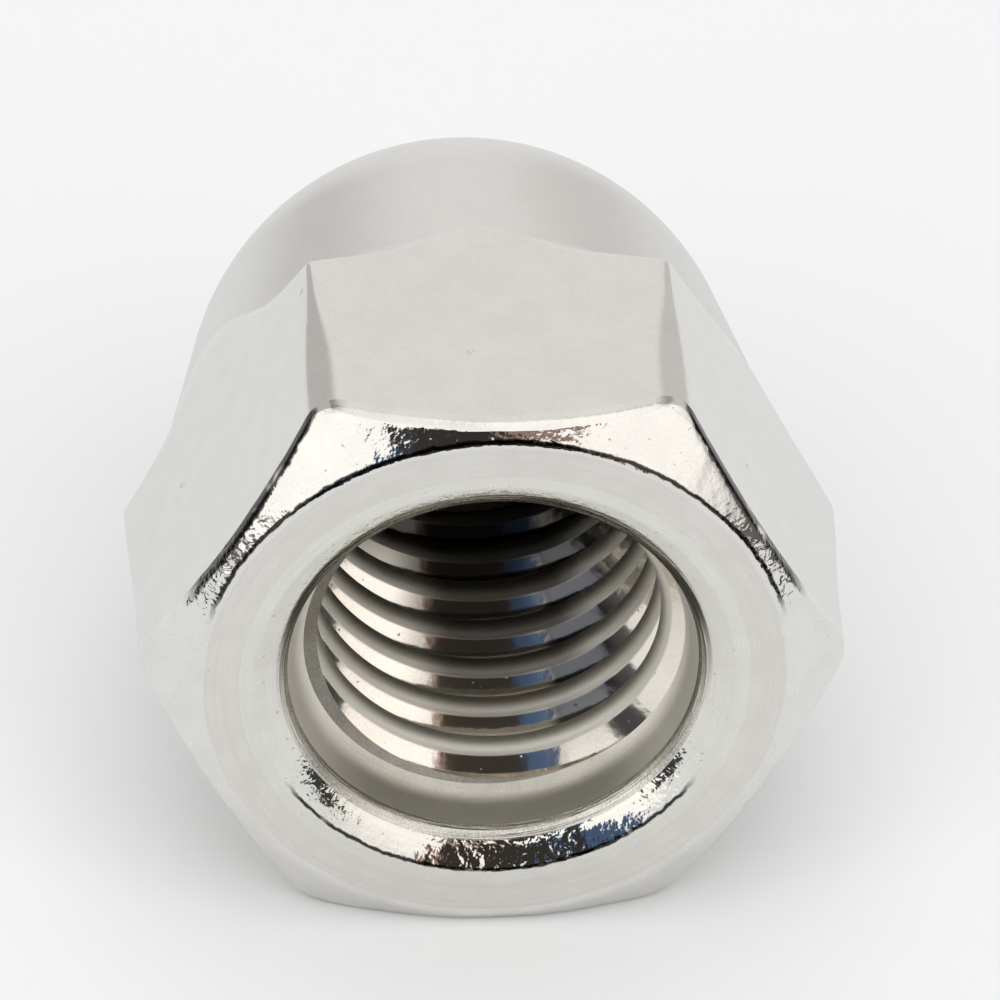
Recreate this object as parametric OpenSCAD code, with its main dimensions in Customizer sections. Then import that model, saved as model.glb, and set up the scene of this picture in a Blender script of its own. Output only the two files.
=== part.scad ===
// Domed hexagon cap nut, lying on one of its flats.
// The bore runs along Y with its mouth towards -Y, and Z is up from the surface it lies on.
// The outside is a hexagonal bar that meets two turned envelopes: one has the bearing face and the
// front chamfer, the other the shoulder and the dome. The flats are the bar's.

/* [Hexagon] */
// Distance across two opposite flats
across_flats = 19.05; // [17:0.05:24]
// Radius of the six edges between the flats, at the back of the hexagon
edge_radius = 0.2; // [0.15:0.05:0.6]
// Flare of the edges' rounding towards the front, as a cone's half angle
edge_flare = 6.5; // [0:0.5:7]
// Height of the hexagon, from the bearing face to the foot of the dome
hex_height = 9.4; // [7:0.1:12]
// Diameter of the flat ring that bears on the work
bearing_face_d = 18.1; // [15.5:0.05:18.9]
// Angle of the front chamfer, from the plane of the bearing face
front_chamfer_angle = 37; // [15:1:50]
// Angle of the shoulder behind the hexagon, from the plane of the bearing face
shoulder_angle = 23.5; // [10:0.5:40]

/* [Dome] */
// Height of the whole nut, from the bearing face to the top of the dome
total_height = 22.2; // [20.5:0.1:25]
// Diameter of the dome at its foot
dome_foot_d = 19.4; // [17.5:0.1:21]
// Radius of the ball-shaped end of the dome
dome_radius = 8.65; // [7.5:0.05:9.3]
// Radius of the hollow between the dome's foot and the shoulder
foot_radius = 1.1; // [0.2:0.05:1.6]
// How far forging left the dome and the shoulder off the hexagon's axis, towards -X
dome_offset = 0.2; // [0:0.05:0.5]

/* [Bore] */
// Outside diameter of the thread that the nut takes
thread_major_d = 12.7; // [11.5:0.05:13.5]
// Diameter of the bore at the crests of its thread
thread_minor_d = 10.6; // [9.5:0.05:11.4]
// Depth of the full bore, from the bearing face
bore_depth = 17; // [12:0.5:17.5]
// Angle of the drill's point at the blind end
drill_point_angle = 118; // [90:1:140]

/* [Mouth] */
// Diameter of the countersink at the bearing face
countersink_d = 14.8; // [13.8:0.05:15.4]
// Included angle of the countersink
countersink_angle = 120; // [90:1:150]
// Depth of the plain relief before the thread, from the bearing face
relief_depth = 2; // [1.2:0.1:4]
// Taper of the relief's wall, from the axis
relief_taper = 12; // [0:1:15]
// Angle of the lead into the thread, from the axis
lead_angle = 50; // [30:1:60]

/* [Hidden] */
$fn = 96;
BITE = 1; // how far a cutter or an envelope runs past what it meets

// Every rounding meets its two sides at this small angle, since a cut along a bare tangent leaves slivers.
CREASE = 1;

flat_r = across_flats / 2;
corner_r = flat_r / cos(30);
envelope_r = corner_r + dome_offset + BITE;
bearing_r = bearing_face_d / 2;
foot_r = dome_foot_d / 2;
major_r = thread_major_d / 2;
minor_r = thread_minor_d / 2;
countersink_r = countersink_d / 2;

// The mouth's steps, each as a depth from the bearing face.
countersink_end = (countersink_r - major_r) / tan(countersink_angle / 2);
relief_end_r = major_r - (relief_depth - countersink_end) * tan(relief_taper);
thread_start = relief_depth + (relief_end_r - minor_r) / tan(lead_angle);
bore_tip = bore_depth + minor_r / tan(drill_point_angle / 2);

// The rounding of an edge is a cone that leans in from the back of the hexagon to the front.
// Each function takes a distance in front of the hexagon's back.
edge_tilt = asin(sin(edge_flare) / cos(30));
tangent_drop = sin(30) * tan(30); // from a corner to the tangent points, for a gap of 1
function edge_r(d) = edge_radius + d * tan(edge_flare) / cos(edge_tilt);
function edge_gap(d) = edge_r(d) * cos(edge_flare) * cos(CREASE); // from the cone's axis to each flat

// The dome is a ball, and a cone that leaves the foot and runs into the ball almost as a tangent.
ball_z = total_height - dome_radius;
foot = [foot_r, hex_height];
to_ball = [-foot_r, ball_z - hex_height];
side_angle = atan2(to_ball[1], to_ball[0]) - asin(dome_radius / norm(to_ball)) + CREASE;
side = [cos(side_angle), sin(side_angle)];
side_length = sqrt(norm(to_ball) ^ 2 - dome_radius ^ 2);
shoulder = [cos(shoulder_angle), -sin(shoulder_angle)];

// What is taken off one corner of the bar: all that lies outside a cone that touches both flats.
module corner_cut() {
    depth = hex_height + BITE;
    tip = [corner_r - tangent_drop * edge_gap(0), hex_height];
    front = [corner_r - tangent_drop * edge_gap(depth), -BITE];
    difference() {
        rotate([90, 0, 0])
            linear_extrude(corner_r, center = true)
                polygon([front, [envelope_r, -BITE], [envelope_r, hex_height], tip]);
        translate([(flat_r - edge_gap(depth)) / cos(30), 0, -BITE])
            rotate([0, edge_tilt, 0])
                cylinder(h = depth / cos(edge_tilt), r1 = edge_r(depth), r2 = edge_radius);
    }
}

// The hexagonal bar along Z, with two flats facing up and down Y and its six edges rounded.
module bar() {
    difference() {
        linear_extrude(total_height + BITE)
            circle(r = corner_r, $fn = 6);
        for (i = [0:5])
            rotate(60 * i)
                corner_cut();
    }
}

// Fills the corner between the dome's foot and the shoulder, less the circle that rounds it.
module foot_fill() {
    half_angle = acos(side * shoulder) / 2;
    side_gap = foot_radius * cos(CREASE); // from the circle's centre to each side
    reach = side_gap / tan(half_angle);
    middle = (side + shoulder) / norm(side + shoulder);
    centre = foot + side_gap / sin(half_angle) * middle;
    difference() {
        polygon([foot - reach * middle, foot + reach * shoulder, centre, foot + reach * side]);
        translate(centre)
            circle(r = foot_radius);
    }
}

// Half of the front envelope's outline, radius against height above the bearing face.
module front_outline() {
    chamfer_top = (envelope_r - bearing_r) * tan(front_chamfer_angle);
    polygon([
        [0, 0],
        [bearing_r, 0],
        [envelope_r, chamfer_top],
        [envelope_r, total_height + BITE],
        [0, total_height + BITE],
    ]);
}

// Half of the back envelope's outline: shoulder, dome's foot, side and ball.
module back_outline() {
    shoulder_drop = (envelope_r - foot_r) * tan(shoulder_angle);
    polygon([
        [0, -BITE],
        [envelope_r, -BITE],
        [envelope_r, hex_height - shoulder_drop],
        foot,
        foot + side_length * side,
        [0, ball_z],
    ]);
    foot_fill();
    intersection() {
        translate([0, ball_z])
            circle(r = dome_radius);
        translate([0, hex_height])
            square([foot_r, total_height]);
    }
}

// Half of the bore's outline: countersink, relief, lead, plain wall at the thread's crests, drill point.
module bore_outline() {
    flare = BITE * tan(countersink_angle / 2);
    polygon([
        [0, -BITE],
        [countersink_r + flare, -BITE],
        [major_r, countersink_end],
        [relief_end_r, relief_depth],
        [minor_r, thread_start],
        [minor_r, bore_depth],
        [0, bore_tip],
    ]);
}

module cap_nut() {
    color([0.82, 0.81, 0.79])
        translate([0, -total_height / 2, flat_r])
            rotate([-90, 0, 0])
                difference() {
                    intersection() {
                        bar();
                        rotate_extrude()
                            front_outline();
                        translate([-dome_offset, 0, 0])
                            rotate_extrude()
                                back_outline();
                    }
                    rotate_extrude()
                        bore_outline();
                }
}

cap_nut();
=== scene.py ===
from math import acos, asin, atan2, cos, hypot, pi, radians, sin, sqrt, tan

import bpy
from mathutils import Matrix, Vector


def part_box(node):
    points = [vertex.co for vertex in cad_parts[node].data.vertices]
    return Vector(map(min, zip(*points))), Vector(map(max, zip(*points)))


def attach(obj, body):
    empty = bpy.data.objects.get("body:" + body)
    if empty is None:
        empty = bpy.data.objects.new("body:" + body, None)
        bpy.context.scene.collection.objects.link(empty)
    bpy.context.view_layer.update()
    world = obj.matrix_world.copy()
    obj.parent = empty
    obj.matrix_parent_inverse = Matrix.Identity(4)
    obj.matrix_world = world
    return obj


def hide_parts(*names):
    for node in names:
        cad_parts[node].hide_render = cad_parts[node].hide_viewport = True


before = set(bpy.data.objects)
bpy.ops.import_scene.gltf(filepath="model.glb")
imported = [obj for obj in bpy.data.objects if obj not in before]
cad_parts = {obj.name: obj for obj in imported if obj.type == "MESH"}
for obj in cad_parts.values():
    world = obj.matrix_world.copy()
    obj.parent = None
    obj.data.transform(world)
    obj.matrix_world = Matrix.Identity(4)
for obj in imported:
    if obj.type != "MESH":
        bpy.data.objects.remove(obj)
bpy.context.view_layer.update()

# The nut lies on one flat. Its bore runs along Y, and its mouth faces -Y.
MM = 0.001
low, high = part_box("cap_nut")
MOUTH_Y = low.y
AXIS_Z = (low.z + high.z) / 2
FLAT_R = (high.z - low.z) / 2
TOTAL_HEIGHT = high.y - low.y
AXIS = Vector((0, 1, 0))

# How finely the shapes are drawn
COLUMNS = 288  # faces round the thread
HALF_SECTOR = 30  # faces of the body from one of the hexagon's edges to the middle of a flat
CORNER_SHARE = 0.12  # how far apart they are at the edge, as a share of even spacing
BAR_RINGS = 8
RISE_RINGS = 18
BALL_RINGS = 38
BULGE_POINTS = 5
INNER_EDGE_POINTS = 10
BURR_POINTS = 8
WELD = 0.0005 * MM
CUT_WELD = 0.001 * MM
PLANE_SLACK = 0.0001 * MM
SHARP_ANGLE = radians(35)

# Turned outside, each place as a radius from the axis and a depth behind the mouth
BEARING_R = 9.05 * MM
FRONT_CHAMFER = radians(37)
SHOULDER = radians(23.5)
HEX_HEIGHT = 9.4 * MM
FOOT_R = 9.7 * MM
FOOT_HOLLOW = 1.1 * MM
DOME_R = 8.65 * MM
BLANK_R = 12 * MM
DOME_OFFSET = 0.2 * MM  # towards -X

# Bore and mouth
COUNTERSINK_R = 7.4 * MM
COUNTERSINK_END = 0.606 * MM
RELIEF_END_R = 6.054 * MM
RELIEF_DEPTH = 2 * MM
LEAD_ANGLE = radians(50)
DRILL_R = 5.27 * MM
DRILL_DEPTH = 17 * MM
DRILL_POINT = radians(118)

# Hexagonal bar: the rounding of its edges widens towards the mouth
EDGE_R_FRONT = 1.35 * MM
EDGE_R_BACK = 0.22 * MM
EDGE_WIDE = 3.4 * MM
EDGE_NARROW = 8.2 * MM

# Edges: how far each is eased to both sides, and how unevenly they run
RELIEF_EASE = 0.42 * MM
MOUTH_EASE = 0.32 * MM
RIM_EASE = 0.09 * MM
FACE_EASE = 0.16 * MM
FRONT_EASE = 0.24 * MM
BACK_EASE = 0.3 * MM
RISE_ABOVE = 0.8 * MM  # from the last of the flats to where the dome's rings run level
EDGE_WANDER = 0.025 * MM
MOUTH_BULGE = 0.028 * MM  # of the countersink's side

# Thread
PITCH = 25.4 / 13 * MM
CREST_R = 5.3 * MM
ROOT_R = 6.35 * MM
GROOVE_DEPTH = 2.905 * MM  # of the groove's middle, straight below the axis
THREAD_START = RELIEF_DEPTH + 0.02 * MM
THREAD_END = 15.5 * MM
THREAD_TURNS = 10
CREST_ROUNDING = 0.43 * MM  # on the side seen from the mouth
BACK_ROUNDING = 0.12 * MM
ROOT_ROUNDING = 0.18 * MM
FLANK = radians(30)
NEAR_CORNER = 0.02 * MM  # close enough to be taken as the corner itself

# The paper and its lamps, and what only the plating mirrors: dark cards, and a person's sleeve and hands
PAPER_SIZE = 0.24
PAPER_MIDDLE = Vector((0, 0.02, 0))
PAPER_SEEN = (0.92, 0.922, 0.928, 1)
PAPER_MIRRORED = (0.84, 0.845, 0.85, 1)
LAMP_PLACE = (0, 0.02, 0.2)
LAMP_SPREAD = radians(45)
LAMPS = (
    ((radians(35), radians(-25), 0), 0.65),
    ((radians(35), radians(25), 0), 0.65),
    ((radians(-8), 0, 0), 0.5),
)
PAPER_LIGHT = 0.52
BACKGROUND = 0.92
CARD_AZIMUTHS = (radians(-49), radians(50))
CARD_DISTANCE = 45 * MM
CARD_WIDTH = 18 * MM
CARD_HEIGHT = 9 * MM
CARD_THICKNESS = 0.5 * MM
FELT = (0.05, 0.05, 0.055, 1)
SLEEVE = (0.065, 0.11, 0.21, 1)
HAND = (0.36, 0.23, 0.2, 1)
RAISED_HAND = (0.3, 0.2, 0.17, 1)

# Colours painted on the plating: dark reflections along its edges, shade in the thread, light at the
# relief's sides, and the relief darker below
CHAMFER_DARK_REFLECTION = (0.05, 0.045, 0.042, 1)
MOUTH_DARK_REFLECTION = (0.05, 0.048, 0.045, 1)
STREAK_DARK = (0.05, 0.048, 0.04, 1)
STREAK_LIGHT = (0.6, 0.585, 0.51, 1)
RELIEF_DARKER_BELOW = (0.5, 0.485, 0.43, 1)
RELIEF_SIDES_LIT = (0.98, 0.965, 0.9, 1)
THREAD_SHADE = (0.1, 0.105, 0.115, 1)
THREAD_DEEP_SHADE = (0.06, 0.055, 0.05, 1)
CREST_UNSHADED = (0.76, 0.745, 0.68, 1)
CREST_SHADE = (0.22, 0.205, 0.185, 1)
DEEP_END_SHADE = (0.05, 0.047, 0.042, 1)

# Camera
CAMERA_AZIMUTH = radians(-4.664)
CAMERA_ELEVATION = radians(37.151)
CAMERA_ROLL = radians(2.143)
CAMERA_DISTANCE = 0.46041
CAMERA_LENS = 544.27
CAMERA_SENSOR = 36
CAMERA_AIM = Vector((0.216 * MM, MOUTH_Y + 3.338 * MM, 13.939 * MM))


def deselect():
    """Leaves no piece selected."""
    bpy.ops.object.select_all(action="DESELECT")


def edit(piece):
    """Opens one piece for editing, with nothing of it selected."""
    deselect()
    piece.select_set(True)
    bpy.context.view_layer.objects.active = piece
    bpy.ops.object.mode_set(mode="EDIT")
    bpy.ops.mesh.select_all(action="DESELECT")


def close():
    """Ends editing."""
    bpy.ops.object.mode_set(mode="OBJECT")


def pick(piece, chosen):
    """Opens one piece for editing, with the points that chosen() takes selected."""
    edit(piece)
    close()
    for vertex in piece.data.vertices:
        vertex.select = chosen(piece.matrix_world @ vertex.co)
    bpy.ops.object.mode_set(mode="EDIT")


def finish_modifier(piece, name):
    """Makes what a modifier does to a piece permanent."""
    deselect()
    piece.select_set(True)
    bpy.context.view_layer.objects.active = piece
    bpy.ops.object.modifier_apply(modifier=name)


def place(radius, depth):
    """The point above the axis at this radius and depth behind the mouth."""
    return Vector((0, MOUTH_Y + depth, AXIS_Z + radius))


def start_outline(name, radius, depth):
    """Starts an outline above the axis as one point, left selected."""
    deselect()
    bpy.ops.mesh.primitive_plane_add(size=MM, location=place(radius, depth))
    outline = bpy.context.object
    outline.name = name
    bpy.ops.object.mode_set(mode="EDIT")
    bpy.ops.mesh.select_all(action="SELECT")
    bpy.ops.mesh.merge(type="CENTER")
    return outline


def draw(corners):
    """Extrudes the selected end of an outline from the first corner through each of the others."""
    for (radius, depth), (next_radius, next_depth) in zip(corners, corners[1:]):
        step = place(next_radius, next_depth) - place(radius, depth)
        bpy.ops.mesh.extrude_vertices_move(TRANSFORM_OT_translate={"value": step})


def mix(start, end, share):
    """The value at this share of the way from start to end."""
    return start + (end - start) * share


def edge_radius(depth):
    """Radius of the hexagon's edges, which widens towards the mouth."""
    share = min(max((EDGE_NARROW - depth) / (EDGE_NARROW - EDGE_WIDE), 0), 1)
    return mix(EDGE_R_BACK, EDGE_R_FRONT, share * share * (3 - 2 * share))


def bar_radius(from_corner, depth):
    """How far the hexagonal bar reaches from the axis, at an angle from its nearest corner."""
    rounding = edge_radius(depth)
    centre = (FLAT_R - rounding) / cos(radians(30))
    touch = atan2(rounding * sin(radians(30)), centre + rounding * cos(radians(30)))
    if from_corner > touch:
        return FLAT_R / cos(radians(30) - from_corner)
    across = centre * sin(from_corner)
    return centre * cos(from_corner) + sqrt(rounding**2 - across**2)


def turned(point, angle, offset=0.0):
    """Swings a point, given as radius and depth, round its axis to an angle from straight below."""
    return Vector((point.x * sin(angle) - offset, point.y, -point.x * cos(angle)))


def wander(angle, reach, start):
    """A smooth uneven wave round the nut, for edges that aren't quite true."""
    slow = sin(19 * angle + start)
    middling = 0.6 * sin(43 * angle + 2.3 * start)
    quick = 0.5 * sin(79 * angle + 5 * start)
    return reach * (slow + middling + quick) / 2


def steps(start, end, count):
    """Points evenly spaced between two points, with neither of them."""
    return [mix(start, end, (i + 1) / (count + 1)) for i in range(count)]


def eased(before, corner, after, reach, count):
    """This many points round a corner, on a smooth curve that starts and ends this far from it."""
    start = corner + (before - corner).normalized() * reach
    end = corner + (after - corner).normalized() * reach
    curve = []
    for i in range(count):
        t = i / (count - 1)
        curve.append(mix(mix(start, corner, t), mix(corner, end, t), t))
    return curve


class Envelope:
    """The turned outside behind the hexagon: shoulder, hollow, side and ball, by distance along it."""

    def __init__(self):
        self.ball_depth = TOTAL_HEIGHT - DOME_R
        foot = Vector((FOOT_R, HEX_HEIGHT))
        to_ball = Vector((-FOOT_R, self.ball_depth - HEX_HEIGHT))
        lean = atan2(to_ball.y, to_ball.x) - asin(DOME_R / to_ball.length)
        self.side = Vector((cos(lean), sin(lean)))
        self.shoulder = Vector((-cos(SHOULDER), sin(SHOULDER)))
        self.ball_start = foot + self.side * sqrt(to_ball.length_squared - DOME_R**2)
        half = acos(-self.side.dot(self.shoulder)) / 2
        reach = FOOT_HOLLOW / tan(half)
        self.turn = pi - 2 * half
        self.hollow_start = foot - self.shoulder * reach
        self.side_start = foot + self.side * reach
        self.hollow_middle = foot + (self.side - self.shoulder).normalized() * FOOT_HOLLOW / sin(half)
        self.start = self.hollow_start - self.shoulder * (BLANK_R - self.hollow_start.x) / cos(SHOULDER)
        self.shoulder_length = (self.hollow_start - self.start).length
        self.hollow_length = FOOT_HOLLOW * self.turn
        self.side_length = (self.ball_start - self.side_start).length

    def at(self, distance):
        """The point this far along the outside, as radius and depth."""
        if distance < self.shoulder_length:
            return self.start + self.shoulder * distance
        distance -= self.shoulder_length
        if distance < self.hollow_length:
            spoke = self.hollow_start - self.hollow_middle
            spoke.rotate(Matrix.Rotation(-distance / FOOT_HOLLOW, 2))
            return self.hollow_middle + spoke
        return self.side_start + self.side * (distance - self.hollow_length)

    def crossing(self, angle, from_corner):
        """Where the envelope goes inside the bar: distance along it, angle round its own axis."""
        near = 0
        far = self.shoulder_length + self.hollow_length + self.side_length
        for _ in range(40):
            middle = (near + far) / 2
            point = self.at(middle)
            reach = bar_radius(from_corner, point.y)
            across = reach * sin(angle) + DOME_OFFSET
            down = reach * cos(angle)
            if point.x > hypot(across, down):
                near = middle
            else:
                far = middle
        return near, atan2(across, down)


def chamfer_corner(from_corner):
    """Where the front chamfer meets the hexagonal bar."""
    depth = 0
    for _ in range(20):
        radius = bar_radius(from_corner, depth)
        depth = (radius - BEARING_R) * tan(FRONT_CHAMFER)
    return Vector((radius, depth))


def section(angle, from_corner, envelope):
    """The nut's section at one angle round the bore, from the drill's point to the dome's top.

    Each stretch is a pair: the finish of its faces, and its points.
    """
    tip = turned(Vector((0, DRILL_DEPTH + DRILL_R / tan(DRILL_POINT / 2))), angle)
    drill_corner = turned(Vector((DRILL_R, DRILL_DEPTH)), angle)
    lead_depth = RELIEF_DEPTH + (RELIEF_END_R - DRILL_R) / tan(LEAD_ANGLE)
    lead_end = turned(Vector((DRILL_R, lead_depth)), angle)
    relief_end = turned(Vector((RELIEF_END_R, RELIEF_DEPTH)), angle)
    countersink_end = turned(Vector((ROOT_R, COUNTERSINK_END)), angle)
    mouth_edge = turned(Vector((COUNTERSINK_R + wander(angle, EDGE_WANDER, 1), 0)), angle)
    face_edge = turned(Vector((BEARING_R + wander(angle, EDGE_WANDER, 4), 0)), angle)
    inner_edge = eased(relief_end, countersink_end, mouth_edge, MOUTH_EASE, INNER_EDGE_POINTS)
    square_to_side = turned(Vector((-0.5, -0.866)), angle)
    bulging = []
    for i in range(BULGE_POINTS):
        share = mix(0.36, 0.76, i / (BULGE_POINTS - 1))
        outwards = square_to_side * MOUTH_BULGE * 4 * share * (1 - share)
        bulging.append(mix(countersink_end, mouth_edge, share) + outwards)
    chamfer_end = chamfer_corner(from_corner)
    chamfer_end = turned(chamfer_end + Vector((0, wander(angle, EDGE_WANDER, 7))), angle)

    crossing, dome_angle = envelope.crossing(angle, from_corner)

    def on_dome(distance):
        return turned(envelope.at(distance), dome_angle, DOME_OFFSET)

    bar_end = on_dome(crossing)
    after_bar = on_dome(crossing + BACK_EASE)
    bar_stretch = []
    bar_from = chamfer_end.y + 2 * FRONT_EASE
    bar_to = bar_end.y - 2 * BACK_EASE
    for i in range(BAR_RINGS):
        depth = mix(bar_from, bar_to, i / (BAR_RINGS - 1))
        bar_stretch.append(turned(Vector((bar_radius(from_corner, depth), depth)), angle))
    # The rise's rings are closer together at the flats
    rise = []
    for i in range(RISE_RINGS):
        share = ((i + 1) / RISE_RINGS) ** 1.3
        rise.append(on_dome(mix(crossing + BACK_EASE, envelope.rise_end, share)))
    ball_start = turned(envelope.ball_start, dome_angle, DOME_OFFSET)
    ball_angle = atan2(envelope.ball_start.x, envelope.ball_start.y - envelope.ball_depth)
    ball = []
    for i in range(BALL_RINGS + 1):
        from_top = ball_angle * (1 - i / BALL_RINGS)
        point = Vector((DOME_R * sin(from_top), envelope.ball_depth + DOME_R * cos(from_top)))
        ball.append(turned(point, dome_angle, DOME_OFFSET))
    return (
        ("bore", [tip, drill_corner, lead_end]),
        ("relief", eased(lead_end, relief_end, countersink_end, RELIEF_EASE, 8)),
        ("burr", inner_edge[:BURR_POINTS]),
        ("mouth", inner_edge[BURR_POINTS:]),
        ("mouth", bulging),
        ("mouth", eased(bulging[-1], mouth_edge, face_edge, RIM_EASE, 6)),
        ("face", steps(mouth_edge, face_edge, 3)),
        ("chamfer", eased(mouth_edge, face_edge, chamfer_end, FACE_EASE, 7)),
        ("chamfer", steps(face_edge, chamfer_end, 2)),
        ("chamfer", eased(face_edge, chamfer_end, bar_stretch[0], FRONT_EASE, 7)),
        ("flat", bar_stretch),
        ("flat", eased(bar_stretch[-1], bar_end, after_bar, BACK_EASE, 6)),
        ("dome", rise),
        ("dome", steps(rise[-1], ball_start, 2)),
        ("dome", ball),
    )


def column_angles():
    """Each column's angle from straight below, and from its nearest edge of the hexagon."""
    half = []
    for i in range(HALF_SECTOR):
        t = i / HALF_SECTOR
        half.append(radians(30) * mix(t * t, t, CORNER_SHARE))
    for sector in range(6):
        corner = radians(30 + 60 * sector)
        for offset in half:
            yield corner + offset, offset
        for offset in reversed(half[1:] + [radians(30)]):
            yield corner + radians(60) - offset, offset


def make_body():
    """The whole nut but its thread: a grid wrapped round the axis and shaped section by section."""
    envelope = Envelope()
    angles = list(column_angles())
    envelope.rise_end = max(envelope.crossing(*pair)[0] for pair in angles) + RISE_ABOVE
    columns = []
    for angle, from_corner in angles:
        points = []
        finishes = []
        for finish, stretch in section(angle, from_corner, envelope):
            points += stretch
            finishes += [finish] * len(stretch)
        columns.append(points)
    columns.append(columns[0])
    across = len(columns) - 1
    along = len(columns[0]) - 1

    deselect()
    bpy.ops.mesh.primitive_grid_add(
        x_subdivisions=across,
        y_subdivisions=along,
        size=1,
        location=place(0, 0),
    )
    body = bpy.context.object
    body.name = "cap_nut_body"
    for vertex in body.data.vertices:
        column = round((vertex.co.x + 0.5) * across)
        ring = round((vertex.co.y + 0.5) * along)
        vertex.co = columns[column][ring]
    for name in FINISHES:
        body.data.materials.append(MATERIALS[name])
    for face in body.data.polygons:
        rings = [i // (across + 1) for i in face.vertices]
        face.material_index = FINISHES.index(finishes[min(rings)])
    edit(body)
    bpy.ops.mesh.select_all(action="SELECT")
    bpy.ops.mesh.remove_doubles(threshold=WELD)
    bpy.ops.mesh.normals_make_consistent(inside=False)
    close()
    return body


def make_tap():
    """The thread's form as a solid rod: one pitch of its outline, screwed along the bore."""
    root_half = PITCH / 16
    crest_half = root_half + (ROOT_R - CREST_R) * tan(FLANK)
    middle = GROOVE_DEPTH - 2 * PITCH
    corners = [
        (-CREST_R, middle - PITCH / 2),
        (-CREST_R, middle - crest_half),
        (-ROOT_R, middle - root_half),
        (-ROOT_R, middle + root_half),
        (-CREST_R, middle + crest_half),
        (-CREST_R, middle + PITCH / 2),
    ]
    tap = start_outline("tap", *corners[0])
    draw(corners)
    close()
    roundings = (
        (-CREST_R, middle + crest_half, CREST_ROUNDING, 6),
        (-CREST_R, middle - crest_half, BACK_ROUNDING, 3),
        (-ROOT_R, middle + root_half, ROOT_ROUNDING, 5),
        (-ROOT_R, middle - root_half, ROOT_ROUNDING, 5),
    )
    # The outline turns by 60 degrees at each corner
    for radius, depth, rounding, segments in roundings:
        corner = place(radius, depth)
        pick(tap, lambda point: (point - corner).length < NEAR_CORNER)
        bpy.ops.mesh.bevel(
            offset=rounding * tan(radians(30)),
            segments=segments,
            affect="VERTICES",
        )
        close()

    bpy.context.scene.cursor.location = place(0, 0)
    bpy.ops.object.origin_set(type="ORIGIN_CURSOR")
    thread = tap.modifiers.new("thread", "SCREW")
    thread.axis = "Y"
    thread.angle = 2 * pi
    thread.screw_offset = PITCH
    thread.iterations = THREAD_TURNS
    thread.steps = COLUMNS
    thread.render_steps = COLUMNS
    finish_modifier(tap, "thread")

    for name in FINISHES:
        tap.data.materials.append(MATERIALS[name])
    for face in tap.data.polygons:
        face.material_index = FINISHES.index("thread")
    edit(tap)
    for depth, normal in ((THREAD_START, -AXIS), (THREAD_END, AXIS)):
        bpy.ops.mesh.select_all(action="SELECT")
        bpy.ops.mesh.remove_doubles(threshold=WELD)
        bpy.ops.mesh.bisect(
            plane_co=place(0, depth),
            plane_no=normal,
            use_fill=True,
            clear_outer=True,
            threshold=PLANE_SLACK,
        )
    bpy.ops.mesh.select_all(action="SELECT")
    bpy.ops.mesh.normals_make_consistent(inside=False)
    close()
    return tap


def cut(piece, tool):
    """Cuts a piece by another with an exact Boolean, and drops the other."""
    boolean = piece.modifiers.new("cut", "BOOLEAN")
    boolean.operation = "DIFFERENCE"
    boolean.solver = "EXACT"
    boolean.object = tool
    finish_modifier(piece, "cut")
    bpy.data.objects.remove(tool)
    edit(piece)
    bpy.ops.mesh.select_all(action="SELECT")
    bpy.ops.mesh.remove_doubles(threshold=CUT_WELD)
    bpy.ops.mesh.dissolve_degenerate(threshold=CUT_WELD)
    close()


def make_nut():
    """Shapes the body and taps the thread."""
    nut = make_body()
    cut(nut, make_tap())
    deselect()
    nut.select_set(True)
    bpy.ops.object.transform_apply(location=True, rotation=True, scale=True)
    bpy.ops.object.shade_smooth_by_angle(angle=SHARP_ANGLE)
    normals = nut.modifiers.new("normals", "WEIGHTED_NORMAL")
    normals.keep_sharp = True
    normals.weight = 80
    finish_modifier(nut, "normals")
    return nut


class Graph:
    """Shorthand for wiring the nodes of one material, world or group."""

    def __init__(self, tree):
        self.tree = tree

    def add(self, kind, **settings):
        """A new node with these settings."""
        node = self.tree.nodes.new(kind)
        for name, value in settings.items():
            setattr(node, name, value)
        return node

    def feed(self, socket, value):
        """Puts a plain value in a socket, or links another node's output to it."""
        if isinstance(value, bpy.types.NodeSocket):
            self.tree.links.new(value, socket)
        else:
            socket.default_value = value

    def maths(self, operation, first, second=0.0, third=0.0):
        """A maths node's result."""
        node = self.add("ShaderNodeMath", operation=operation)
        for socket, value in zip(node.inputs, (first, second, third)):
            self.feed(socket, value)
        return node.outputs[0]

    def apart(self, first, second):
        """How far two values are from each other, either way."""
        return self.maths("ABSOLUTE", self.maths("SUBTRACT", first, second))

    def noise(self, where, scale, detail, distortion=0.0):
        """A noise texture's outputs."""
        node = self.add("ShaderNodeTexNoise")
        self.feed(node.inputs["Vector"], where)
        self.feed(node.inputs["Scale"], scale)
        self.feed(node.inputs["Detail"], detail)
        self.feed(node.inputs["Distortion"], distortion)
        return node.outputs

    def use(self, group, **values):
        """Places a node group with these values, and gives its outputs."""
        node = self.add("ShaderNodeGroup", node_tree=GROUPS[group])
        for name, value in values.items():
            self.feed(node.inputs[name.replace("_", " ")], value)
        return node.outputs

    def fade(self, value, start, end):
        """A smooth step from 0 at start to 1 at end."""
        node = self.add("ShaderNodeMapRange", interpolation_type="SMOOTHSTEP")
        self.feed(node.inputs["Value"], value)
        node.inputs["From Min"].default_value = start
        node.inputs["From Max"].default_value = end
        return node.outputs["Result"]

    def blend(self, factor, first, second):
        """A colour from the first at 0 to the second at 1."""
        node = self.add("ShaderNodeMix", data_type="RGBA")
        self.feed(node.inputs["Factor"], factor)
        self.feed(node.inputs[6], first)
        self.feed(node.inputs[7], second)
        return node.outputs[2]


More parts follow.
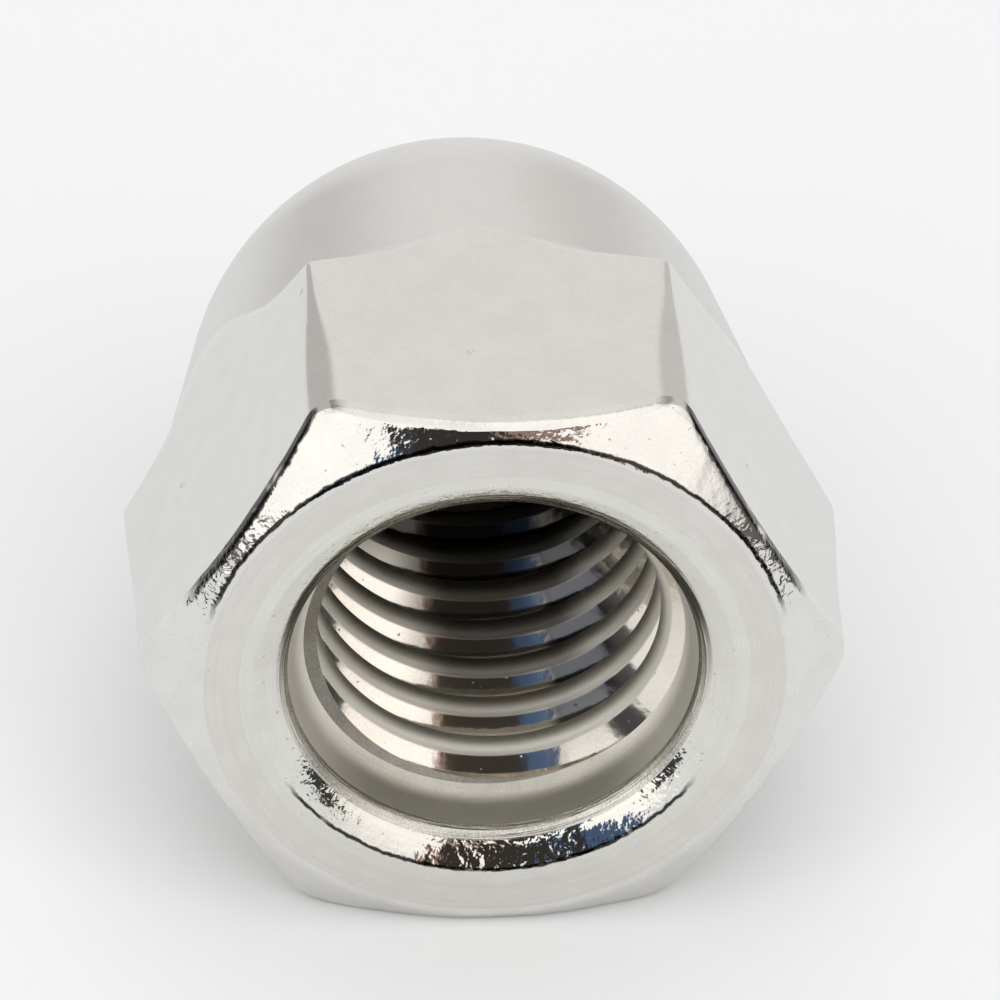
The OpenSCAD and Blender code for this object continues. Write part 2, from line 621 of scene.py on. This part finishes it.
# How each finish of the plating looks. The peel is a coarse and a fine grain, each with its grains
# per mm and its height in mm. The marks are the turning marks' height in mm. The pits are given by
# the places per mm where one may be, the share of those that have one, their size and their depth.
LOOKS = {
    "flat": dict(
        colour=(0.805, 0.795, 0.77),
        dull=(0.765, 0.755, 0.73),
        roughness=0.16,
        peel=((1.6, 0.007), (12, 0.0012)),
        marks=0,
        pits=(1.4, 0.05, 0.16, 0.02),
    ),
    "face": dict(
        colour=(0.815, 0.8, 0.76),
        dull=(0.76, 0.74, 0.7),
        roughness=0.3,
        peel=((3, 0.011), (14, 0.004)),
        marks=0.002,
        pits=(2.2, 0.05, 0.14, 0.015),
    ),
    "chamfer": dict(
        colour=(0.84, 0.83, 0.795),
        dull=(0.78, 0.77, 0.74),
        roughness=0.06,
        peel=((4.5, 0.01), (13, 0.0022)),
        marks=0,
        pits=(4, 0.2, 0.16, 0.012),
    ),
    "mouth": dict(
        colour=(0.84, 0.83, 0.785),
        dull=(0.78, 0.77, 0.72),
        roughness=0.05,
        peel=((4.5, 0.014), (13, 0.003)),
        marks=0.002,
        pits=(4, 0.25, 0.18, 0.012),
    ),
    "burr": dict(
        colour=(0.8, 0.785, 0.735),
        dull=(0.6, 0.585, 0.535),
        roughness=0.26,
        peel=((5, 0.012), (14, 0.006)),
        marks=0.03,
        pits=(5, 0.2, 0.16, 0.012),
    ),
    "relief": dict(
        colour=(0.8, 0.785, 0.72),
        dull=(0.68, 0.665, 0.6),
        roughness=0.56,
        peel=((3, 0.004), (16, 0.002)),
        marks=0.004,
        pits=(5, 0.1, 0.14, 0.01),
    ),
    # The thread is lighter and warmer than the rest of the plating: painted light on its flanks.
    "thread": dict(
        colour=(0.94, 0.885, 0.8),
        dull=(0.86, 0.805, 0.73),
        roughness=0.09,
        peel=((2.5, 0.004), (12, 0.0006)),
        marks=0,
        pits=(4, 0.12, 0.14, 0.012),
    ),
    "bore": dict(
        colour=(0.42, 0.4, 0.36),
        dull=(0.32, 0.3, 0.27),
        roughness=0.5,
        peel=((3, 0.006), (12, 0.003)),
        marks=0,
        pits=(3, 0.1, 0.14, 0.01),
    ),
    "dome": dict(
        colour=(0.80, 0.795, 0.775),
        dull=(0.775, 0.77, 0.75),
        roughness=0.34,
        peel=((0.8, 0.004), (8, 0.0006)),
        marks=0,
        pits=(1.6, 0.03, 0.12, 0.012),
    ),
}
FINISHES = ("bore", "thread", "relief", "burr", "mouth", "face", "chamfer", "flat", "dome")
MATERIALS = {}
GROUPS = {}


def make_group(name, inputs, outputs):
    """A shader node group with these sockets: its wiring, what comes in and what goes out."""
    tree = bpy.data.node_groups.new(name, "ShaderNodeTree")
    for socket, kind in inputs:
        tree.interface.new_socket(name=socket, in_out="INPUT", socket_type="NodeSocket" + kind)
    for socket, kind in outputs:
        tree.interface.new_socket(name=socket, in_out="OUTPUT", socket_type="NodeSocket" + kind)
    GROUPS[name] = tree
    graph = Graph(tree)
    return graph, graph.add("NodeGroupInput").outputs, graph.add("NodeGroupOutput").inputs


def make_bore_places():
    """Where a point of the nut lies, in mm from the middle of the mouth: its place, radius and depth.

    Its turn is the angle from straight below, in radians, positive to the right.
    """
    graph, given, result = make_group(
        "bore_places",
        [("Object", "Vector")],
        [("Place", "Vector"), ("Radius", "Float"), ("Depth", "Float"), ("Turn", "Float")],
    )
    from_mouth = graph.add("ShaderNodeVectorMath", operation="SUBTRACT")
    graph.feed(from_mouth.inputs[0], given["Object"])
    from_mouth.inputs[1].default_value = place(0, 0)
    in_mm = graph.add("ShaderNodeVectorMath", operation="SCALE")
    graph.feed(in_mm.inputs[0], from_mouth.outputs[0])
    in_mm.inputs["Scale"].default_value = 1 / MM
    parts = graph.add("ShaderNodeSeparateXYZ")
    graph.feed(parts.inputs[0], in_mm.outputs[0])
    x, y, z = parts.outputs
    squares = graph.maths("ADD", graph.maths("MULTIPLY", x, x), graph.maths("MULTIPLY", z, z))
    graph.feed(result["Place"], in_mm.outputs[0])
    graph.feed(result["Radius"], graph.maths("SQRT", squares))
    graph.feed(result["Depth"], y)
    graph.feed(result["Turn"], graph.maths("ARCTAN2", x, graph.maths("MULTIPLY", z, -1.0)))


def make_peel():
    """The plating's orange peel, coarse and fine: its height in mm, and a level for its tone."""
    graph, given, result = make_group(
        "peel",
        [
            ("Place", "Vector"),
            ("Coarse Grain", "Float"),
            ("Coarse Height", "Float"),
            ("Fine Grain", "Float"),
            ("Fine Height", "Float"),
        ],
        [("Height", "Float"), ("Level", "Float")],
    )
    coarse = graph.noise(given["Place"], given["Coarse Grain"], 1)["Fac"]
    fine = graph.noise(given["Place"], given["Fine Grain"], 1)["Fac"]
    coarse_height = graph.maths("MULTIPLY", coarse, given["Coarse Height"])
    fine_height = graph.maths("MULTIPLY", fine, given["Fine Height"])
    graph.feed(result["Height"], graph.maths("ADD", coarse_height, fine_height))
    # The tone follows the fine grain and wide clouds, half each
    clouds = graph.noise(given["Place"], 0.9, 2)["Fac"]
    half_fine = graph.maths("MULTIPLY", fine, 0.5)
    level = graph.maths("MULTIPLY_ADD", clouds, 0.5, half_fine)
    graph.feed(result["Level"], graph.fade(level, 0.36, 0.64))


def make_turning_marks():
    """Fine uneven rings round the bore, as the cutter left them: height from 0 to 1."""
    graph, given, result = make_group(
        "turning_marks",
        [("Radius", "Float"), ("Depth", "Float"), ("Turn", "Float")],
        [("Height", "Float")],
    )
    rings = graph.add("ShaderNodeCombineXYZ")
    inwards = graph.maths("SUBTRACT", given["Depth"], given["Radius"])
    graph.feed(rings.inputs[0], graph.maths("MULTIPLY", inwards, 9.0))
    graph.feed(rings.inputs[1], graph.maths("MULTIPLY", graph.maths("SINE", given["Turn"]), 1.6))
    graph.feed(rings.inputs[2], graph.maths("MULTIPLY", graph.maths("COSINE", given["Turn"]), 1.6))
    graph.feed(result["Height"], graph.noise(rings.outputs[0], 1, 3)["Fac"])


def make_pits():
    """Scattered small pits: a mask that is 1 in a pit."""
    graph, given, result = make_group(
        "pits",
        [("Place", "Vector"), ("Per mm", "Float"), ("Share", "Float"), ("Size", "Float")],
        [("Mask", "Float")],
    )
    shifted = graph.add("ShaderNodeVectorMath", operation="MULTIPLY_ADD")
    graph.feed(shifted.inputs[0], graph.noise(given["Place"], 6, 2)["Color"])
    shifted.inputs[1].default_value = (0.16, 0.16, 0.16)
    graph.feed(shifted.inputs[2], given["Place"])
    cells = graph.add("ShaderNodeTexVoronoi")
    graph.feed(cells.inputs["Vector"], shifted.outputs[0])
    graph.feed(cells.inputs["Scale"], given["Per mm"])
    chance = graph.add("ShaderNodeSeparateXYZ")
    graph.feed(chance.inputs[0], cells.outputs["Color"])
    pitted = graph.maths("LESS_THAN", chance.outputs[0], given["Share"])
    size = graph.maths("MULTIPLY", given["Size"], graph.maths("ADD", chance.outputs[1], 0.5))
    near = graph.maths("SUBTRACT", 1.0, graph.maths("DIVIDE", cells.outputs["Distance"], size))
    graph.feed(result["Mask"], graph.maths("MULTIPLY", pitted, graph.fade(near, 0, 0.6)))


def make_dark_edge():
    """A wandering dark line along an edge, for a painted dark reflection: a mask from the distance to the
    edge in mm.
    """
    graph, given, result = make_group(
        "dark_edge",
        [("Place", "Vector"), ("Distance", "Float"), ("Width", "Float")],
        [("Mask", "Float")],
    )
    wobble = graph.noise(given["Place"], 2.6, 3)["Fac"]
    wandering = graph.maths("MULTIPLY_ADD", wobble, 0.16, -0.08)
    off_edge = graph.maths("ABSOLUTE", graph.maths("ADD", given["Distance"], wandering))
    across = graph.maths("DIVIDE", off_edge, given["Width"])
    breaks = graph.noise(given["Place"], 0.9, 2)["Fac"]
    whole = graph.fade(breaks, 0.22, 0.4)
    graph.feed(result["Mask"], graph.maths("MULTIPLY", graph.fade(across, 1, 0.4), whole))


def paint_chamfer_edges_and_crinkles(graph, where, colour, height):
    """Painted dark reflections as wandering lines along the chamfer's edges at its upper half, and
    crinkles where it is narrow at the upper sides.
    """
    from_below = graph.maths("ABSOLUTE", where["Turn"])
    off_flat = graph.maths("WRAP", where["Turn"], pi / 6, -pi / 6)
    towards_flat = graph.maths("MULTIPLY", where["Radius"], graph.maths("COSINE", off_flat))
    to_flat = graph.maths("SUBTRACT", FLAT_R / MM, towards_flat)
    to_face = graph.maths("SUBTRACT", where["Radius"], BEARING_R / MM + 0.05)
    upper = graph.fade(from_below, 1.82, 1.95)
    sides = graph.maths("MULTIPLY", upper, graph.fade(from_below, 2.7, 2.6))
    outer = graph.use("dark_edge", Place=where["Place"], Distance=to_flat, Width=0.11)["Mask"]
    inner = graph.use("dark_edge", Place=where["Place"], Distance=to_face, Width=0.085)["Mask"]
    outer = graph.maths("MULTIPLY", outer, sides)
    inner = graph.maths("MULTIPLY", inner, upper)
    # Painted dark reflection along the chamfer's outer and inner edges.
    colour = graph.blend(graph.maths("MAXIMUM", outer, inner), colour, CHAMFER_DARK_REFLECTION)

    narrow = graph.fade(from_below, 1.78, 1.92)
    narrow = graph.maths("MULTIPLY", narrow, graph.fade(from_below, 2.3, 2.0))
    narrow = graph.maths("MULTIPLY", narrow, graph.fade(to_flat, 0.8, 0.3))
    crinkles = graph.noise(where["Place"], 3.4, 1, 0.8)["Fac"]
    crinkled = graph.maths("MULTIPLY", crinkles, graph.maths("MULTIPLY", narrow, 0.07))
    return colour, graph.maths("ADD", height, crinkled)


def paint_mouth_edge_and_lumps(graph, where, colour, height):
    """A painted dark reflection as a wandering line along the countersink's outer edge at its lower half,
    and lumps straight below.
    """
    to_face = graph.maths("SUBTRACT", where["Radius"], COUNTERSINK_R / MM - 0.05)
    dark_reflection_mask = graph.use("dark_edge", Place=where["Place"], Distance=to_face, Width=0.08)["Mask"]
    lower = graph.fade(graph.maths("ABSOLUTE", where["Turn"]), 1.05, 0.9)
    # Painted dark reflection along the countersink's outer edge.
    colour = graph.blend(graph.maths("MULTIPLY", dark_reflection_mask, lower), colour, MOUTH_DARK_REFLECTION)

    lumps = graph.noise(where["Place"], 3, 2)["Fac"]
    lumpy = graph.maths("MULTIPLY", lumps, graph.fade(graph.apart(where["Turn"], 0.13), 0.36, 0.22))
    return colour, graph.maths("ADD", height, graph.maths("MULTIPLY", lumpy, 0.065))


def shade_thread(graph, where, crest, colour):
    """Painted shade: the thread darkens down the bore and at the lower right, and its crests darken
    deeper down.
    """
    # Painted shade at the lower right.
    shade = graph.fade(graph.apart(where["Turn"], 0.6), 0.26, 0.16)
    shade = graph.maths("MULTIPLY", shade, graph.fade(where["Depth"], 1.5, 5.5))
    colour = graph.blend(shade, colour, THREAD_SHADE)

    # Painted shade deeper down the bore, near straight below.
    deep_shade = graph.fade(graph.maths("ABSOLUTE", where["Turn"]), 0.45, 0.25)
    deep_shade = graph.maths("MULTIPLY", graph.fade(where["Depth"], 4.0, 13.0), deep_shade)
    colour = graph.blend(graph.maths("MULTIPLY", deep_shade, 0.75), colour, THREAD_DEEP_SHADE)

    # Painted shade on the crests, deeper down near straight below.
    crest_shade_mask = graph.fade(graph.apart(where["Turn"], 0.19), 0.58, 0.3)
    crest_shade_mask = graph.maths("MULTIPLY", graph.fade(where["Depth"], 3.6, 9.0), crest_shade_mask)
    colour = graph.blend(crest, colour, graph.blend(crest_shade_mask, CREST_UNSHADED, CREST_SHADE))
    # Painted shade at the far end of the thread.
    return graph.blend(graph.fade(where["Depth"], 11.5, 14.3), colour, DEEP_END_SHADE)


def paint_relief_tones(graph, where, colour):
    """The relief behind the countersink is darker below, and lighter at its sides, which is painted
    light.
    """
    from_below = graph.maths("ABSOLUTE", where["Turn"])
    below = graph.fade(from_below, 1.2, 0.4)
    darker_below = graph.maths("MULTIPLY", below, graph.fade(where["Depth"], 2.1, 1.7))
    colour = graph.blend(darker_below, colour, RELIEF_DARKER_BELOW)
    # Painted light: the relief's sides are lighter.
    return graph.blend(graph.fade(from_below, 0.6, 1.1), colour, RELIEF_SIDES_LIT)


def paint_inner_edge_reflection(graph, where, marks, colour):
    """A painted dark reflection on the countersink's inner edge, more so above, in dark and light streaks
    along the turning marks.
    """
    from_below = graph.maths("ABSOLUTE", where["Turn"])
    reach = graph.maths("MULTIPLY_ADD", graph.fade(from_below, 1.6, 2.9), 0.35, 6.65)
    dark_reflection_mask = graph.fade(graph.maths("SUBTRACT", where["Radius"], reach), 0.07, -0.07)
    dark_reflection_mask = graph.maths("MULTIPLY", graph.fade(from_below, 1.3, 2.0), dark_reflection_mask)
    # Painted dark reflection, streaked dark and light along the turning marks.
    streaked = graph.blend(graph.fade(marks, 0.47, 0.62), STREAK_DARK, STREAK_LIGHT)
    return graph.blend(dark_reflection_mask, colour, streaked)


def make_plating(name):
    """Bright nickel plating in one of its finishes."""
    look = LOOKS[name]
    plating = bpy.data.materials.new("plated_" + name)
    plating.use_nodes = True
    graph = Graph(plating.node_tree)
    shader = plating.node_tree.nodes["Principled BSDF"]
    shader.inputs["Metallic"].default_value = 1
    shader.inputs["Roughness"].default_value = look["roughness"]
    where = graph.use("bore_places", Object=graph.add("ShaderNodeTexCoord").outputs["Object"])
    (coarse_grain, coarse_height), (fine_grain, fine_height) = look["peel"]
    peel = graph.use(
        "peel",
        Place=where["Place"],
        Coarse_Grain=coarse_grain,
        Coarse_Height=coarse_height,
        Fine_Grain=fine_grain,
        Fine_Height=fine_height,
    )
    per_mm, share, size, depth = look["pits"]
    pits = graph.use("pits", Place=where["Place"], Per_mm=per_mm, Share=share, Size=size)["Mask"]
    height = graph.maths("SUBTRACT", peel["Height"], graph.maths("MULTIPLY", pits, depth))
    level = peel["Level"]
    if look["marks"]:
        places = dict(Radius=where["Radius"], Depth=where["Depth"], Turn=where["Turn"])
        rings = graph.use("turning_marks", **places)["Height"]
        height = graph.maths("ADD", height, graph.maths("MULTIPLY", rings, look["marks"]))
        level = graph.maths("MULTIPLY", level, graph.fade(rings, 0.3, 0.6))
    colour = graph.blend(level, (*look["dull"], 1), (*look["colour"], 1))
    if name == "chamfer":
        colour, height = paint_chamfer_edges_and_crinkles(graph, where, colour, height)
    if name == "mouth":
        colour, height = paint_mouth_edge_and_lumps(graph, where, colour, height)
    if name == "thread":
        crest = graph.fade(where["Radius"], CREST_R / MM + 0.34, CREST_R / MM + 0.24)
        colour = shade_thread(graph, where, crest, colour)
        roughness = graph.maths("MULTIPLY_ADD", crest, 0.46, look["roughness"])
        graph.feed(shader.inputs["Roughness"], roughness)
    if name == "relief":
        colour = paint_relief_tones(graph, where, colour)
    if name in ("burr", "mouth"):
        colour = paint_inner_edge_reflection(graph, where, rings, colour)
    graph.feed(shader.inputs["Base Color"], colour)
    bump = graph.add("ShaderNodeBump")
    bump.inputs["Distance"].default_value = MM
    graph.feed(bump.inputs["Height"], height)
    graph.feed(shader.inputs["Normal"], bump.outputs["Normal"])
    return plating


def make_floor():
    """White paper, a little darker where the plating mirrors it."""
    deselect()
    bpy.ops.mesh.primitive_plane_add(size=PAPER_SIZE, location=PAPER_MIDDLE)
    floor = bpy.context.object
    floor.name = "floor"
    paper = bpy.data.materials.new("white_paper")
    paper.use_nodes = True
    shader = paper.node_tree.nodes["Principled BSDF"]
    graph = Graph(paper.node_tree)
    seen = graph.add("ShaderNodeLightPath").outputs["Is Camera Ray"]
    graph.feed(shader.inputs["Base Color"], graph.blend(seen, PAPER_MIRRORED, PAPER_SEEN))
    shader.inputs["Roughness"].default_value = 0.9
    floor.data.materials.append(paper)


def make_lamps():
    """Soft lamps for the paper, from both front corners and overhead: the plating doesn't mirror them."""
    for tilt, power in LAMPS:
        bpy.ops.object.light_add(type="SUN", location=LAMP_PLACE, rotation=tilt)
        lamp = bpy.context.object
        lamp.name = "lamp"
        lamp.data.energy = power
        lamp.data.angle = LAMP_SPREAD
        lamp.visible_glossy = False


def make_cards():
    """Dark cards at both front corners, outside the camera's view, for the plating to mirror."""
    felt = bpy.data.materials.new("dark_felt")
    felt.use_nodes = True
    shader = felt.node_tree.nodes["Principled BSDF"]
    shader.inputs["Base Color"].default_value = FELT
    shader.inputs["Roughness"].default_value = 0.9
    middle = Vector((0, MOUTH_Y, CARD_HEIGHT / 2))
    for azimuth in CARD_AZIMUTHS:
        spot = Vector((sin(azimuth), -cos(azimuth), 0)) * CARD_DISTANCE + middle
        bpy.ops.mesh.primitive_cube_add(size=1, location=spot, rotation=(0, 0, azimuth))
        card = bpy.context.object
        card.name = "card"
        card.scale = (CARD_WIDTH, CARD_THICKNESS, CARD_HEIGHT)
        card.data.materials.append(felt)
        card.visible_diffuse = False
        card.visible_shadow = False


def grey(level, warmth=0.0):
    """A grey of this level, a little warmer or not."""
    return (level * (1 + warmth), level, level * (1 - warmth), 1)


def make_walls(graph, azimuth, elevation):
    """The studio's walls: bright at the left and in front, grey in the corners behind, dark low down."""
    away = graph.maths("ABSOLUTE", azimuth)
    front_right = graph.blend(graph.fade(elevation, -4, 22), grey(0.9, 0.03), grey(1.15, 0.03))
    front = graph.blend(graph.fade(azimuth, -10, 15), grey(1.2, 0.02), front_right)
    right_wall = graph.blend(graph.fade(elevation, 6, 42), grey(0.55, 0.05), grey(1.15, 0.02))
    walls = graph.blend(graph.fade(azimuth, 48, 66), front, right_wall)
    corners = graph.blend(graph.fade(azimuth, -10, 10), grey(0.54, 0.03), grey(0.63, 0.03))
    walls = graph.blend(graph.fade(away, 116, 134), walls, corners)
    walls = graph.blend(graph.fade(away, 158, 172), walls, grey(0.845, 0.02))

    # The horizon is dark beyond the paper, but for the back wall and straight in front
    sunk = graph.maths("MULTIPLY", graph.fade(away, 62, 84), 8.0)
    dark_low = graph.fade(graph.maths("SUBTRACT", elevation, sunk), 5.5, 1.5)
    dark_low = graph.maths("MULTIPLY", dark_low, graph.fade(away, 37, 43))
    dark_low = graph.maths("MULTIPLY", dark_low, graph.fade(away, 138, 118))
    return graph.blend(dark_low, walls, grey(0.13, 0.05))


def add_person(graph, azimuth, elevation, walls):
    """Whoever holds the camera, dark and rounded off above, with a blue sleeve and two hands."""
    across = graph.maths("DIVIDE", graph.maths("ADD", azimuth, 5.0), 22.5)
    above = graph.maths("MAXIMUM", graph.maths("SUBTRACT", elevation, 14.0), 0.0)
    over = graph.maths("DIVIDE", above, 31.0)
    spread = graph.maths("ADD", graph.maths("POWER", across, 2.0), graph.maths("POWER", over, 2.0))
    sleeve = graph.maths("MULTIPLY", graph.fade(azimuth, -15, -19), graph.fade(elevation, 33, 26))
    person = graph.blend(sleeve, grey(0.035, 0.15), SLEEVE)
    person = graph.blend(graph.fade(azimuth, 12.5, 14.5), person, HAND)
    walls = graph.blend(graph.fade(spread, 1.15, 0.95), walls, person)
    hand_across = graph.fade(graph.apart(azimuth, 17.0), 13, 9)
    hand_up = graph.fade(graph.apart(elevation, 38.0), 5, 3)
    return graph.blend(graph.maths("MULTIPLY", hand_across, hand_up), walls, RAISED_HAND)


def add_ceiling(graph, azimuth, elevation, walls):
    """A white ceiling, a little brighter at the right, that starts higher up at the back."""
    ceiling = graph.blend(graph.fade(azimuth, -60, 60), grey(1.0, 0.02), grey(1.15, 0.02))
    back = graph.fade(graph.maths("ABSOLUTE", azimuth), 90, 130)
    edge = graph.maths("ADD", elevation, graph.maths("MULTIPLY", back, -12.0))
    return graph.blend(graph.fade(edge, 40, 56), walls, ceiling)


def make_world():
    """The studio that the plating mirrors, in degrees; the paper and the camera see plain greys."""
    world = bpy.data.worlds.new("studio")
    bpy.context.scene.world = world
    world.use_nodes = True
    graph = Graph(world.node_tree)
    parts = graph.add("ShaderNodeSeparateXYZ")
    graph.feed(parts.inputs[0], graph.add("ShaderNodeTexCoord").outputs["Generated"])
    x, y, z = parts.outputs
    elevation = graph.maths("DEGREES", graph.maths("ARCSINE", z))
    # 0 towards the front, where the camera stands, and positive to the right
    azimuth = graph.maths("DEGREES", graph.maths("ARCTAN2", x, graph.maths("MULTIPLY", y, -1.0)))
    colour = make_walls(graph, azimuth, elevation)
    colour = add_person(graph, azimuth, elevation, colour)
    colour = add_ceiling(graph, azimuth, elevation, colour)
    path = graph.add("ShaderNodeLightPath").outputs
    colour = graph.blend(path["Is Diffuse Ray"], colour, grey(PAPER_LIGHT))
    colour = graph.blend(path["Is Camera Ray"], colour, grey(BACKGROUND))
    graph.feed(world.node_tree.nodes["Background"].inputs["Color"], colour)


def camera_back():
    """The direction from the nut to the camera."""
    return Vector(
        (
            sin(CAMERA_AZIMUTH) * cos(CAMERA_ELEVATION),
            -cos(CAMERA_AZIMUTH) * cos(CAMERA_ELEVATION),
            sin(CAMERA_ELEVATION),
        )
    )


def make_camera():
    """The camera, in front of the nut and looking down on it, a little rolled."""
    data = bpy.data.cameras.new("camera")
    data.lens = CAMERA_LENS
    data.sensor_width = CAMERA_SENSOR
    data.dof.use_dof = False
    camera = bpy.data.objects.new("camera", data)
    bpy.context.scene.collection.objects.link(camera)
    back = camera_back()
    level = Vector((cos(CAMERA_AZIMUTH), sin(CAMERA_AZIMUTH), 0))
    upright = back.cross(level)
    right = cos(CAMERA_ROLL) * level + sin(CAMERA_ROLL) * upright
    up = cos(CAMERA_ROLL) * upright - sin(CAMERA_ROLL) * level
    facing = Matrix((right, up, back)).transposed().to_4x4()
    camera.matrix_world = Matrix.Translation(CAMERA_AIM + back * CAMERA_DISTANCE) @ facing
    bpy.context.scene.camera = camera


def main():
    """Builds the studio and the nut, and says what the nut is."""
    bpy.context.scene.view_settings.view_transform = "Standard"
    make_camera()
    make_world()
    make_floor()
    make_lamps()
    make_cards()
    make_bore_places()
    make_peel()
    make_turning_marks()
    make_pits()
    make_dark_edge()
    for name in FINISHES:
        MATERIALS[name] = make_plating(name)
    nut = make_nut()
    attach(nut, "root")
    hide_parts("cap_nut")


main()
